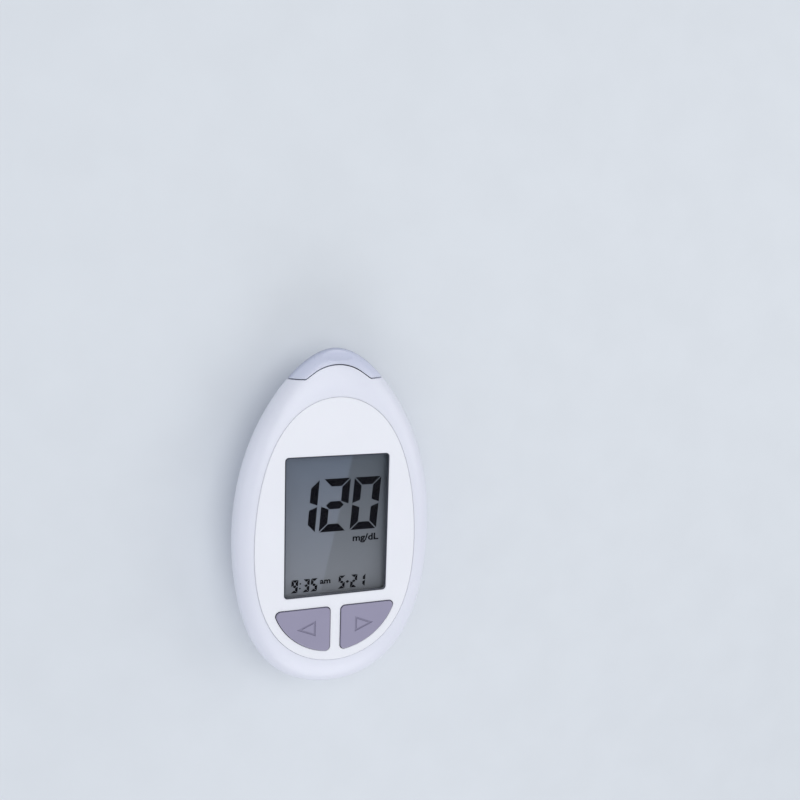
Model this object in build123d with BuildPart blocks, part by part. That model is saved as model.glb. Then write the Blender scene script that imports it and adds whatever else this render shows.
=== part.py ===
"""Hand-held blood glucose meter, as an assembly of separate pieces, in millimetres.

The meter lies on its back. +Z points out of the display, +Y towards the test strip port, and the origin is
on the resting plane, under the middle of the egg-shaped body.
"""
import os
from math import asin, cos, pi, radians, sin, sqrt, tan

from build123d import *

# ---------------------------------------------------------------- body outline
body_length = 94.0          # egg outline along Y
body_width = 54.9           # egg outline across X at mid-length
body_shape = (-0.086, 0.021, -0.161)   # how the half-width changes along the egg
body_height = 20.0          # from the resting plane to the flat face
rim_height = 15.5           # widest section, where the two covers meet
rim_reveal = 0.15           # the rear cover is this much smaller at the parting line

face_top = 34.6             # egg outline of the face plate, along Y
face_bottom = -39.0
face_width = 44.3
face_shape = (-0.080, 0.164, 0.0)
face_gap = 0.06             # between the face plate and its recess

rest_top = 35.0             # flat resting area on the back
rest_bottom = -40.0
rest_width = 37.0
rear_draft = 0.35           # share of the rear taper that is straight draft

cover_wall = 1.8
front_inner_z = 18.1        # underside of the front cover's face wall

# ---------------------------------------------------------------- display
window_width = 28.5
window_length = 38.9
window_y = -0.55            # centre of the display window
window_corner = 1.0
window_gap = 0.06
window_flange = 0.9         # hidden step that holds the window under the face plate
window_flange_depth = 0.4
window_sink = 0.12          # the window lies this much below the face plate's surface
plate_thickness = 0.9
plate_proud = 0.12          # the face plate stands this much above the front cover
plate_edge = 0.25           # rounding of its edge

view_gap = 0.45             # opening under the window, larger than the window by this
gasket_thickness = 0.15
glass_width = 31.0
glass_thickness = 0.55
glass_margin = 1.3          # glass beyond the window
contact_ledge = 2.5         # front glass beyond the rear glass, for the contacts
reflector_thickness = 0.15
holder_wall = 1.1
holder_floor = 1.2
holder_gap = 0.15
zebra_thickness = 1.6
zebra_length = 28.0

# ---------------------------------------------------------------- circuit board
board_top = 12.8
board_thickness = 1.6
board_inset = 3.6           # board outline inside the rim outline
board_end = 38.6            # the board is cut straight here, under the strip connector
post_x = 20.6
post_y = 6.0
post_radius = 2.1
board_hole_gap = 0.2
board_screw_radius = 0.9
board_screw_head_radius = 1.7
board_screw_head = 1.0
board_screw_length = 4.6
screw_clearance = 0.2
thread_clearance = 0.02
pilot_spare = 0.4           # pilot holes are deeper than the screw by this
drive_width = 0.45
chip_x = -7.0
chip_y = -8.0
chip_side = 7.0
chip_height = 1.0
crystal_x = 9.0
crystal_y = 3.0
crystal_length = 5.0
crystal_width = 3.2
crystal_height = 0.8
chip_parts_x = 8.0
chip_parts_y = -17.0
chip_part_pitch = 2.6
chip_part_length = 1.6
chip_part_width = 0.8
chip_part_height = 0.6
buzzer_y = 19.0
buzzer_radius = 6.0
buzzer_height = 2.8
buzzer_edge = 0.4
buzzer_port_radius = 0.8

# ---------------------------------------------------------------- keys and switches
key_top = -23.4             # straight upper edge of both keys
key_split = 1.5             # half the bar between the keys
key_arc_y = -18.66          # centre of the arc that bounds both keys
key_arc_radius = 17.6
key_corner = 1.3
key_gap = 0.18
key_proud = 0.4             # key above the face plate
key_edge = 0.35
key_flange = 0.6
key_flange_thickness = 1.1
key_rest_gap = 0.05
key_travel = 0.6
key_mark_depth = 0.2
key_mark_line = 0.55
key_mark_base_x = 5.55      # sunk triangle outline on each key
key_mark_tip_x = 10.75
key_mark_half = 2.25
key_mark_y = -29.05
switch_x = 7.6
switch_y = -28.6
switch_side = 5.0
switch_height = 1.8
switch_stem_radius = 1.3
switch_stem_proud = 0.8
switch_bore_gap = 0.05
switch_floor = 0.3

# ---------------------------------------------------------------- strip port
cap_peak = 43.1             # top of the arch where the cap meets the front cover
cap_arch_radius = 11.0
cap_arch_half = 6.5         # the arch runs tangent into straight flanks here
cap_foot = 39.3             # level of the cap's two straight feet
cap_foot_radius = 1.0
cap_gap = 0.3
cap_wall = 1.6
cap_bottom = 8.0            # the cap stands on the rear cover here
slot_width = 7.2
slot_height = 1.2
slot_floor = 13.8
mouth_flare = 0.4           # the slot is larger by this where the strip goes in
mouth_depth = 0.9
dish_angle = 30             # place of the shallow dish on the rounded nose, in degrees up from the rim
dish_radius = 4.0
dish_depth = 0.5
dish_width = 16.0           # length of the round cutter, wider than the dish that it leaves
sleeve_wall = 0.8
tip_solid = 43.3            # the cap is solid beyond this
connector_front = 40.3
connector_back = 29.5
connector_wall = 1.4
connector_gap = 0.1
channel_end = 31.5
contact_count = 5
contact_pitch = 1.25
contact_width = 0.6
contact_thickness = 0.2
contact_gap = 0.06
contact_tail = 1.6
contact_level = 14.4        # middle of the leaf where it enters the channel
contact_dip = 14.05         # middle of the leaf where it presses on the strip
contact_tip = 37.5

# ---------------------------------------------------------------- battery bay and door
cell_radius = 10.0
cell_height = 3.2
cell_bottom = 2.4
cell_step = 0.25            # the negative face is smaller and stands proud by this
cell_step_radius = 8.8
bay_x = 13.2                # half the bay's inner width
bay_top = 7.6               # bay's inner end, towards the strip port
bay_bottom = -20.0
bay_wall = 1.4
bay_ceiling = 6.8
bay_ceiling_thickness = 1.1
cradle_gap = 0.3
cradle_wall = 1.0
cradle_notch = 5.0          # half the opening in the cradle for a fingertip
cell_y = -6.6
cell_edge = 0.3
spring_width = 5.0
spring_thickness = 0.2
spring_pin_y = 3.0
spring_bend_y = -2.0
spring_touch_y = -10.5
spring_tip_y = -12.5
spring_gap = 0.1
side_contact_width = 4.8
side_contact_pin = 1.8
side_contact_gap = 0.05
side_contact_low = 3.0
door_thickness = 1.6
door_sink = 0.25            # the door lies this much above the resting plane
door_gap = 0.2
hinge_pin_radius = 0.6
hinge_pin_length = 1.2
hinge_clearance = 0.05
hinge_bore_spare = 0.1
latch_width = 8.0
latch_slot = 0.8
latch_length = 5.0
latch_wall = 0.9
latch_setback = 0.6         # the latch finger stands this far inside the door's edge
latch_height = 3.1
grip_ribs = 3
grip_pitch = 1.2
grip_width = 0.5
grip_height = 0.18
thumb_radius = 5.0
thumb_depth = 0.9
ledge_width = 0.8           # side ledges that the closed door meets
ledge_height = 1.0
ledge_gap = 0.05
ledge_margin = 2.0
pad_thickness = 0.5
pad_side = 9.0

# ---------------------------------------------------------------- housing screws and label
screw_places = ((12.5, 26.5), (19.8, -20.0))   # mirrored across X
boss_radius = 2.7
front_boss_radius = 2.1
boss_meet = 8.0             # where the rear and front bosses meet
screw_radius = 1.0
screw_head_radius = 1.9
screw_head = 1.3
screw_seat = 5.2            # level of the seat under the head
screw_length = 8.4
screw_drive = 1.0
label_width = 17.0
label_length = 12.0
label_y = 21.0
label_depth = 0.25
label_corner = 1.5
label_thickness = 0.15
tongue_rise = 0.7           # tongue of the rear cover inside the front cover
tongue_root = 1.2
tongue_wall = 0.8
tongue_gap = 0.1
tongue_lean = 0.5           # how far the front cover's inside leans in over the tongue's height
rear_skin = 0.9             # posts and walls end this far inside the rear surface

# ---------------------------------------------------------------- derived levels
half_length = body_length / 2
plate_bottom = body_height - plate_thickness
plate_surface = body_height + plate_proud
flange_bottom = plate_bottom - window_flange_depth
glass_top = front_inner_z - gasket_thickness
rear_glass_top = glass_top - glass_thickness
reflector_top = rear_glass_top - glass_thickness
holder_floor_top = reflector_top - reflector_thickness
board_bottom = board_top - board_thickness
glass_low_y = window_y - window_length / 2 - glass_margin
rear_glass_high_y = window_y + window_length / 2 + glass_margin
glass_high_y = rear_glass_high_y + contact_ledge
key_top_z = plate_surface + key_proud
key_flange_top = front_inner_z - key_rest_gap
key_flange_bottom = key_flange_top - key_flange_thickness
switch_top = board_top + switch_height
stem_top = switch_top + switch_stem_proud
slot_top = slot_floor + slot_height
door_top = door_sink + door_thickness
hinge_z = door_sink + door_thickness / 2
hinge_y = bay_top - door_gap - door_thickness / 2
section_angles = (0, 15, 30, 45, 60, 75, 90)
edge_angles = (0, 30, 60, 90)
outline_steps = 16


# ---------------------------------------------------------------- shared shapes
def egg(top, bottom, width, shape, inset=0.0):
    """Points of the +X half of an egg outline, from its top end to its bottom end."""
    middle = (top + bottom) / 2
    reach = (top - bottom) / 2 - inset
    half = width / 2 - inset
    points = []
    for step in range(outline_steps + 1):
        angle = pi / 2 - pi * step / outline_steps
        u = sin(angle)
        fullness = 1 + shape[0] * u + shape[1] * u**2 + shape[2] * u**3
        points.append((half * cos(angle) * fullness, middle + reach * u))
    return points


def rim_points(inset=0.0):
    return egg(half_length, -half_length, body_width, body_shape, inset)


def face_points(inset=0.0):
    return egg(face_top, face_bottom, face_width, face_shape, inset)


def rest_points(inset=0.0):
    return egg(rest_top, rest_bottom, rest_width, body_shape, inset)


def blend(outer, inner, share):
    """Points that lie the given share of the way from the inner outline to the outer one."""
    return [(xi + (xo - xi) * share, yi + (yo - yi) * share) for (xo, yo), (xi, yi) in zip(outer, inner)]


def draw_egg(points):
    """Draws the closed outline of which the points are the +X half, in the current line builder."""
    left_half = [(-x, y) for x, y in points[-2:0:-1]]
    Spline(*points, *left_half, periodic=True)


def egg_prism(points, low, high):
    """An upright prism with an egg outline."""
    with BuildPart() as prism:
        with BuildSketch(Plane.XY.offset(low)):
            with BuildLine():
                draw_egg(points)
            make_face()
        extrude(amount=high - low)
    return prism.part


def egg_ring(outer, inner, low, high):
    """An upright ring between two egg outlines."""
    with BuildPart() as ring:
        with BuildSketch(Plane.XY.offset(low)):
            with BuildLine():
                draw_egg(outer)
            make_face()
            with BuildLine():
                draw_egg(inner)
            make_face(mode=Mode.SUBTRACT)
        extrude(amount=high - low)
    return ring.part


def front_envelope(inset=0.0):
    """Everything inside the front surface, from the rim up, moved inwards by the inset."""
    rise = body_height - inset - rim_height
    with BuildPart() as shape:
        for angle in section_angles:
            share = cos(radians(angle))
            with BuildSketch(Plane.XY.offset(rim_height + rise * sin(radians(angle)))):
                with BuildLine():
                    draw_egg(blend(rim_points(inset), face_points(inset), share))
                make_face()
        loft()
    return shape.part


def rear_envelope(inset=0.0, reveal=rim_reveal):
    """Everything inside the rear surface, from the rim down, moved inwards by the inset."""
    drop = rim_height - inset
    outer = rim_points(inset + reveal)
    with BuildPart() as shape:
        for angle in section_angles:
            turn = radians(angle)
            share = 1 - rear_draft * sin(turn) - (1 - rear_draft) * (1 - cos(turn))
            with BuildSketch(Plane.XY.offset(rim_height - drop * sin(turn))):
                with BuildLine():
                    draw_egg(blend(outer, rest_points(inset), share))
                make_face()
        loft()
    return shape.part


def plate_crown():
    """The rounded upper edge of the face plate, as a thin slice of its whole outline."""
    with BuildPart() as crown:
        for angle in edge_angles:
            inset = plate_edge * (1 - cos(radians(angle)))
            level = plate_surface - plate_edge * (1 - sin(radians(angle)))
            with BuildSketch(Plane.XY.offset(level)):
                with BuildLine():
                    draw_egg(face_points(inset))
                make_face()
        loft()
    return crown.part


def cap_region(shift, low):
    """Everything that belongs to the strip port cap, its lower edge moved along Y by the shift."""
    lean = asin(cap_arch_half / cap_arch_radius)
    arch_end_y = cap_peak - cap_arch_radius * (1 - cos(lean))
    foot_x = cap_arch_half + (arch_end_y - cap_foot) / tan(lean)
    out = body_width / 2
    beyond = half_length + 5
    with BuildPart() as region:
        with BuildSketch(Plane.XY.offset(low)):
            with BuildLine():
                ThreePointArc(
                    (-cap_arch_half, arch_end_y + shift),
                    (0, cap_peak + shift),
                    (cap_arch_half, arch_end_y + shift),
                )
                Polyline(
                    (cap_arch_half, arch_end_y + shift),
                    (foot_x, cap_foot + shift),
                    (out, cap_foot + shift),
                    (out, beyond),
                    (-out, beyond),
                    (-out, cap_foot + shift),
                    (-foot_x, cap_foot + shift),
                    (-cap_arch_half, arch_end_y + shift),
                )
            make_face()
        extrude(amount=body_height + 2 - low)
        feet = region.edges().filter_by(Axis.Z).filter_by(lambda e: abs(abs(e.center().X) - foot_x) < 1e-3)
        fillet(feet, radius=cap_foot_radius)
    return region.part


def key_prism(side, grow, low, high):
    """A prism with the outline of one key, made larger all round. side is +1 right, -1 left."""
    inner = key_split - grow
    radius = key_arc_radius + grow
    top = key_top + grow
    top_x = sqrt(radius**2 - (top - key_arc_y) ** 2)
    low_y = key_arc_y - sqrt(radius**2 - inner**2)
    angle = (asin(inner / radius) + asin(top_x / radius)) / 2
    middle = (side * radius * sin(angle), key_arc_y - radius * cos(angle))
    with BuildPart() as prism:
        with BuildSketch(Plane.XY.offset(low)):
            with BuildLine():
                Polyline((side * inner, low_y), (side * inner, top), (side * top_x, top))
                ThreePointArc((side * top_x, top), middle, (side * inner, low_y))
            make_face()
        extrude(amount=high - low)
        fillet(prism.edges().filter_by(Axis.Z), radius=key_corner + grow / 2)
    return prism.part


def block(x_low, x_high, y_low, y_high, z_low, z_high, mode=Mode.ADD):
    """A box between six levels, in the current part builder."""
    with BuildSketch(Plane.XY.offset(z_low)) as base:
        with Locations(((x_low + x_high) / 2, (y_low + y_high) / 2)):
            Rectangle(x_high - x_low, y_high - y_low)
    extrude(to_extrude=base.sketch, amount=z_high - z_low, mode=mode)


def disc(x, y, radius, z_low, z_high, mode=Mode.ADD):
    """An upright cylinder, in the current part builder."""
    with BuildSketch(Plane.XY.offset(z_low)) as base:
        with Locations((x, y)):
            Circle(radius)
    extrude(to_extrude=base.sketch, amount=z_high - z_low, mode=mode)


def pane(width, low_y, high_y, corner, z_low, z_high, mode=Mode.ADD):
    """A round-cornered plate, centred across X, in the current part builder."""
    with BuildSketch(Plane.XY.offset(z_low)) as base:
        with Locations((0, (low_y + high_y) / 2)):
            RectangleRounded(width, high_y - low_y, corner)
    extrude(to_extrude=base.sketch, amount=z_high - z_low, mode=mode)


def mirrored(places):
    return [(side * x, y) for x, y in places for side in (-1, 1)]


def save(part, name):
    part.label = name
    export_step(part, f"parts/{name}.step")


os.makedirs("parts", exist_ok=True)
above = body_height + 2
boss_places = mirrored(screw_places)
post_places = mirrored([(post_x, post_y)])
cap_cut = cap_region(-cap_gap, cap_bottom)


# ---------------------------------------------------------------- front cover
with BuildPart() as front_bosses:
    for x, y in boss_places:
        disc(x, y, front_boss_radius, rim_height, body_height)
    add(front_envelope(cover_wall / 2), mode=Mode.INTERSECT)
    for x, y in boss_places:
        disc(x, y, front_boss_radius, boss_meet, rim_height)

with BuildPart() as front_hollow:
    add(front_envelope(cover_wall))
    block(-body_width, body_width, -body_length, body_length, front_inner_z, above, mode=Mode.SUBTRACT)

with BuildPart() as front_cover:
    add(front_envelope())
    add(front_hollow.part, mode=Mode.SUBTRACT)
    add(front_bosses.part)
    add(egg_prism(face_points(-face_gap), plate_bottom, above), mode=Mode.SUBTRACT)
    pane(
        window_width + 2 * (window_flange + window_gap),
        window_y - window_length / 2 - window_flange - window_gap,
        window_y + window_length / 2 + window_flange + window_gap,
        window_corner + window_flange,
        flange_bottom,
        above,
        mode=Mode.SUBTRACT,
    )
    pane(
        window_width + 2 * view_gap,
        window_y - window_length / 2 - view_gap,
        window_y + window_length / 2 + view_gap,
        window_corner,
        rim_height,
        above,
        mode=Mode.SUBTRACT,
    )
    for side in (-1, 1):
        add(key_prism(side, key_gap, rim_height, above), mode=Mode.SUBTRACT)
    for x, y in boss_places:
        pilot_top = screw_seat + screw_length + pilot_spare
        disc(x, y, screw_radius + thread_clearance, boss_meet, pilot_top, mode=Mode.SUBTRACT)
    add(cap_cut, mode=Mode.SUBTRACT)
save(front_cover.part, "front_cover")


# ---------------------------------------------------------------- face plate and window
with BuildPart() as face_plate:
    add(egg_prism(face_points(), plate_bottom, plate_surface - plate_edge))
    add(plate_crown())
    pane(
        window_width + 2 * window_gap,
        window_y - window_length / 2 - window_gap,
        window_y + window_length / 2 + window_gap,
        window_corner + window_gap,
        plate_bottom,
        above,
        mode=Mode.SUBTRACT,
    )
    for side in (-1, 1):
        add(key_prism(side, key_gap, plate_bottom, above), mode=Mode.SUBTRACT)
save(face_plate.part, "face_plate")

with BuildPart() as display_window:
    pane(
        window_width + 2 * window_flange,
        window_y - window_length / 2 - window_flange,
        window_y + window_length / 2 + window_flange,
        window_corner + window_flange,
        flange_bottom,
        plate_bottom,
    )
    pane(
        window_width,
        window_y - window_length / 2,
        window_y + window_length / 2,
        window_corner,
        plate_bottom,
        plate_surface - window_sink,
    )
save(display_window.part, "display_window")


# ---------------------------------------------------------------- display stack
with BuildPart() as display_gasket:
    pane(
        glass_width,
        glass_low_y,
        rear_glass_high_y,
        window_corner,
        glass_top,
        front_inner_z,
    )
    pane(
        window_width + 2 * view_gap,
        window_y - window_length / 2 - view_gap,
        window_y + window_length / 2 + view_gap,
        window_corner,
        glass_top,
        front_inner_z,
        mode=Mode.SUBTRACT,
    )
save(display_gasket.part, "display_gasket")

with BuildPart() as display_front_glass:
    block(-glass_width / 2, glass_width / 2, glass_low_y, glass_high_y, rear_glass_top, glass_top)
save(display_front_glass.part, "display_front_glass")

with BuildPart() as display_rear_glass:
    block(-glass_width / 2, glass_width / 2, glass_low_y, rear_glass_high_y, reflector_top, rear_glass_top)
save(display_rear_glass.part, "display_rear_glass")

with BuildPart() as display_reflector:
    block(
        -glass_width / 2, glass_width / 2, glass_low_y, rear_glass_high_y, holder_floor_top, reflector_top
    )
save(display_reflector.part, "display_reflector")

holder_half = glass_width / 2 + holder_gap + holder_wall
holder_low_y = glass_low_y - holder_gap - holder_wall
holder_high_y = glass_high_y + holder_gap + holder_wall
holder_top = glass_top - holder_gap
zebra_low_y = rear_glass_high_y + (contact_ledge - zebra_thickness) / 2
with BuildPart() as display_holder:
    pane(2 * holder_half, holder_low_y, holder_high_y, holder_wall, board_top, holder_top)
    block(
        -glass_width / 2 - holder_gap,
        glass_width / 2 + holder_gap,
        glass_low_y - holder_gap,
        glass_high_y + holder_gap,
        holder_floor_top,
        holder_top,
        mode=Mode.SUBTRACT,
    )
    block(
        -glass_width / 2,
        glass_width / 2,
        glass_low_y + holder_gap,
        rear_glass_high_y - holder_wall,
        board_top,
        holder_floor_top - holder_floor,
        mode=Mode.SUBTRACT,
    )
    block(
        -zebra_length / 2 - holder_gap,
        zebra_length / 2 + holder_gap,
        zebra_low_y - holder_gap / 2,
        zebra_low_y + zebra_thickness + holder_gap / 2,
        board_top,
        holder_top,
        mode=Mode.SUBTRACT,
    )
save(display_holder.part, "display_holder")

with BuildPart() as zebra_strip:
    block(
        -zebra_length / 2,
        zebra_length / 2,
        zebra_low_y,
        zebra_low_y + zebra_thickness,
        board_top,
        rear_glass_top,
    )
save(zebra_strip.part, "zebra_strip")


# ---------------------------------------------------------------- keys and their switches
for side, name in ((-1, "left"), (1, "right")):
    with BuildPart() as key:
        add(key_prism(side, 0, key_flange_top, key_top_z))
        fillet(key.faces().sort_by(Axis.Z)[-1].edges(), radius=key_edge)
        add(key_prism(side, key_flange, key_flange_bottom, key_flange_top))
        disc(side * switch_x, switch_y, switch_stem_radius, stem_top, key_flange_bottom)
        with BuildSketch(Plane.XY.offset(key_top_z)):
            with BuildLine():
                Polyline(
                    (side * key_mark_base_x, key_mark_y - key_mark_half),
                    (side * key_mark_base_x, key_mark_y + key_mark_half),
                    (side * key_mark_tip_x, key_mark_y),
                    close=True,
                )
            make_face()
            offset(amount=-key_mark_line, mode=Mode.SUBTRACT)
        extrude(amount=-key_mark_depth, mode=Mode.SUBTRACT)
    save(key.part, f"{name}_key")

    with BuildPart() as switch_base:
        block(
            side * switch_x - switch_side / 2,
            side * switch_x + switch_side / 2,
            switch_y - switch_side / 2,
            switch_y + switch_side / 2,
            board_top,
            switch_top,
        )
        disc(
            side * switch_x,
            switch_y,
            switch_stem_radius + switch_bore_gap,
            board_top + switch_floor,
            switch_top,
            mode=Mode.SUBTRACT,
        )
    save(switch_base.part, f"{name}_switch_base")

    with BuildPart() as switch_stem:
        stem_low = board_top + switch_floor + key_travel + switch_bore_gap
        disc(side * switch_x, switch_y, switch_stem_radius, stem_low, stem_top)
    save(switch_stem.part, f"{name}_switch_stem")


# ---------------------------------------------------------------- main board and what is on it
with BuildPart() as main_board:
    add(egg_prism(rim_points(board_inset), board_bottom, board_top))
    block(-body_width, body_width, board_end, body_length, board_bottom, board_top, mode=Mode.SUBTRACT)
    for x, y in boss_places:
        disc(x, y, front_boss_radius + board_hole_gap, board_bottom, board_top, mode=Mode.SUBTRACT)
    for x, y in post_places:
        disc(x, y, board_screw_radius + screw_clearance, board_bottom, board_top, mode=Mode.SUBTRACT)
save(main_board.part, "main_board")

with BuildPart() as microcontroller:
    block(
        chip_x - chip_side / 2,
        chip_x + chip_side / 2,
        chip_y - chip_side / 2,
        chip_y + chip_side / 2,
        board_bottom - chip_height,
        board_bottom,
    )
save(microcontroller.part, "microcontroller")

with BuildPart() as clock_crystal:
    block(
        crystal_x - crystal_length / 2,
        crystal_x + crystal_length / 2,
        crystal_y - crystal_width / 2,
        crystal_y + crystal_width / 2,
        board_bottom - crystal_height,
        board_bottom,
    )
    fillet(clock_crystal.edges().filter_by(Axis.Z), radius=crystal_width / 4)
save(clock_crystal.part, "clock_crystal")

with BuildPart() as chip_parts:
    with BuildSketch(Plane.XY.offset(board_bottom)):
        with Locations((chip_parts_x, chip_parts_y), (-chip_parts_x, chip_parts_y)):
            with GridLocations(chip_part_pitch, chip_part_pitch, 3, 2):
                Rectangle(chip_part_length, chip_part_width)
    extrude(amount=-chip_part_height)
save(chip_parts.part, "chip_parts")

with BuildPart() as buzzer:
    disc(0, buzzer_y, buzzer_radius, board_bottom - buzzer_height, board_bottom)
    fillet(buzzer.edges().group_by(Axis.Z)[0], radius=buzzer_edge)
    disc(
        0,
        buzzer_y,
        buzzer_port_radius,
        board_bottom - buzzer_height,
        board_bottom - buzzer_height + buzzer_edge,
        mode=Mode.SUBTRACT,
    )
save(buzzer.part, "buzzer")

with BuildPart() as board_screws:
    for x, y in post_places:
        disc(x, y, board_screw_head_radius, board_top, board_top + board_screw_head)
        disc(x, y, board_screw_radius, board_top - board_screw_length, board_top)
        block(
            x - screw_drive,
            x + screw_drive,
            y - drive_width / 2,
            y + drive_width / 2,
            board_top + board_screw_head / 2,
            board_top + board_screw_head,
            mode=Mode.SUBTRACT,
        )
        block(
            x - drive_width / 2,
            x + drive_width / 2,
            y - screw_drive,
            y + screw_drive,
            board_top + board_screw_head / 2,
            board_top + board_screw_head,
            mode=Mode.SUBTRACT,
        )
save(board_screws.part, "board_screws")


# ---------------------------------------------------------------- strip port
with BuildPart() as cap_hollow:
    add(front_envelope(cap_wall))
    add(rear_envelope(cap_wall, 0))
    block(
        -slot_width / 2 - sleeve_wall,
        slot_width / 2 + sleeve_wall,
        connector_front + connector_gap,
        body_length,
        slot_floor - sleeve_wall,
        slot_top + sleeve_wall,
        mode=Mode.SUBTRACT,
    )
    block(-body_width, body_width, tip_solid, body_length, 0, above, mode=Mode.SUBTRACT)

nose_reach = half_length - face_top
nose_rise = body_height - rim_height
dish_turn = radians(dish_angle)
dish_place = Vector(face_top + nose_reach * cos(dish_turn), rim_height + nose_rise * sin(dish_turn))
dish_normal = Vector(cos(dish_turn) / nose_reach, sin(dish_turn) / nose_rise).normalized()
dish_center = dish_place + dish_normal * (dish_radius - dish_depth)
with BuildPart() as strip_port_cap:
    add(front_envelope())
    add(rear_envelope(0, 0))
    add(cap_region(0, cap_bottom), mode=Mode.INTERSECT)
    add(cap_hollow.part, mode=Mode.SUBTRACT)
    block(
        -slot_width / 2, slot_width / 2, cap_foot, body_length, slot_floor, slot_top, mode=Mode.SUBTRACT
    )
    block(
        -slot_width / 2 - mouth_flare,
        slot_width / 2 + mouth_flare,
        half_length - mouth_depth,
        body_length,
        slot_floor - mouth_flare,
        slot_top + mouth_flare,
        mode=Mode.SUBTRACT,
    )
    with BuildSketch(Plane.YZ.offset(-dish_width / 2)):
        with Locations((dish_center.X, dish_center.Y)):
            Circle(dish_radius)
    extrude(amount=dish_width, mode=Mode.SUBTRACT)
save(strip_port_cap.part, "strip_port_cap")

contact_xs = [contact_pitch * (place - (contact_count - 1) / 2) for place in range(contact_count)]
with BuildPart() as strip_connector:
    block(
        -slot_width / 2 - connector_wall,
        slot_width / 2 + connector_wall,
        connector_back,
        connector_front,
        board_top,
        slot_top + sleeve_wall,
    )
    block(
        -slot_width / 2, slot_width / 2, channel_end, connector_front, slot_floor, slot_top,
        mode=Mode.SUBTRACT,
    )
    for x in contact_xs:
        block(
            x - contact_width / 2 - contact_gap,
            x + contact_width / 2 + contact_gap,
            connector_back,
            channel_end,
            contact_level - contact_thickness / 2 - contact_gap,
            contact_level + contact_thickness / 2 + contact_gap,
            mode=Mode.SUBTRACT,
        )
save(strip_connector.part, "strip_connector")

with BuildPart() as strip_contacts:
    for x in contact_xs:
        with BuildSketch(Plane.YZ.offset(x - contact_width / 2)):
            with BuildLine():
                riser = connector_back - contact_thickness
                Polyline(
                    (riser - contact_tail, board_top + contact_thickness / 2),
                    (riser, board_top + contact_thickness / 2),
                    (riser, contact_level),
                    (channel_end + contact_tail, contact_level),
                    ((channel_end + contact_tip) / 2 + contact_tail / 2, contact_dip),
                    (contact_tip, contact_level),
                )
            trace(line_width=contact_thickness)
        extrude(amount=contact_width)
save(strip_contacts.part, "strip_contacts")


# ---------------------------------------------------------------- coin cell and its contacts
cell_top = cell_bottom + cell_height
with BuildPart() as coin_cell:
    disc(0, cell_y, cell_radius, cell_bottom, cell_top - cell_step)
    fillet(coin_cell.edges().group_by(Axis.Z)[0], radius=cell_edge)
    disc(0, cell_y, cell_step_radius, cell_top - cell_step, cell_top)
save(coin_cell.part, "coin_cell")

spring_level = bay_ceiling - spring_thickness / 2
with BuildPart() as battery_negative_contact:
    with BuildSketch(Plane.YZ.offset(-spring_width / 2)):
        with BuildLine():
            Polyline(
                (spring_pin_y, spring_level),
                (spring_bend_y, spring_level),
                (spring_touch_y, cell_top + spring_thickness / 2 + thread_clearance),
                (spring_tip_y, (cell_top + bay_ceiling) / 2),
            )
        trace(line_width=spring_thickness)
    extrude(amount=spring_width)
    block(
        -side_contact_pin / 2,
        side_contact_pin / 2,
        spring_pin_y - spring_thickness,
        spring_pin_y,
        spring_level,
        board_bottom,
    )
save(battery_negative_contact.part, "battery_negative_contact")

side_contact_x = cell_radius + side_contact_gap
with BuildPart() as battery_positive_contact:
    block(
        side_contact_x,
        side_contact_x + spring_thickness,
        cell_y - side_contact_width / 2,
        cell_y + side_contact_width / 2,
        side_contact_low,
        bay_ceiling,
    )
    block(
        side_contact_x,
        side_contact_x + spring_thickness,
        cell_y - side_contact_pin / 2,
        cell_y + side_contact_pin / 2,
        bay_ceiling,
        board_bottom,
    )
save(battery_positive_contact.part, "battery_positive_contact")


# ---------------------------------------------------------------- rear cover
with BuildPart() as rear_fittings:
    block(
        -bay_x - bay_wall,
        bay_x + bay_wall,
        bay_bottom - bay_wall,
        bay_top + bay_wall,
        0,
        bay_ceiling + bay_ceiling_thickness,
    )
    for x, y in boss_places:
        disc(x, y, boss_radius, 0, boss_meet)
    for x, y in post_places:
        disc(x, y, post_radius, 0, board_bottom)
    add(rear_envelope(rear_skin), mode=Mode.INTERSECT)

tongue_outer = rim_points(cover_wall + tongue_gap + tongue_lean)
tongue_inner = rim_points(cover_wall + tongue_gap + tongue_lean + tongue_wall)
cradle_radius = cell_radius + cradle_gap
with BuildPart() as cell_cradle:
    disc(0, cell_y, cradle_radius + cradle_wall, door_top + door_gap, bay_ceiling)
    disc(0, cell_y, cradle_radius, door_top, bay_ceiling, mode=Mode.SUBTRACT)
    block(
        -cradle_notch, cradle_notch, bay_bottom, cell_y, door_top, bay_ceiling, mode=Mode.SUBTRACT
    )
    block(
        cell_step_radius,
        bay_x,
        cell_y - side_contact_width / 2 - cradle_gap,
        cell_y + side_contact_width / 2 + cradle_gap,
        door_top,
        bay_ceiling,
        mode=Mode.SUBTRACT,
    )

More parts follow.
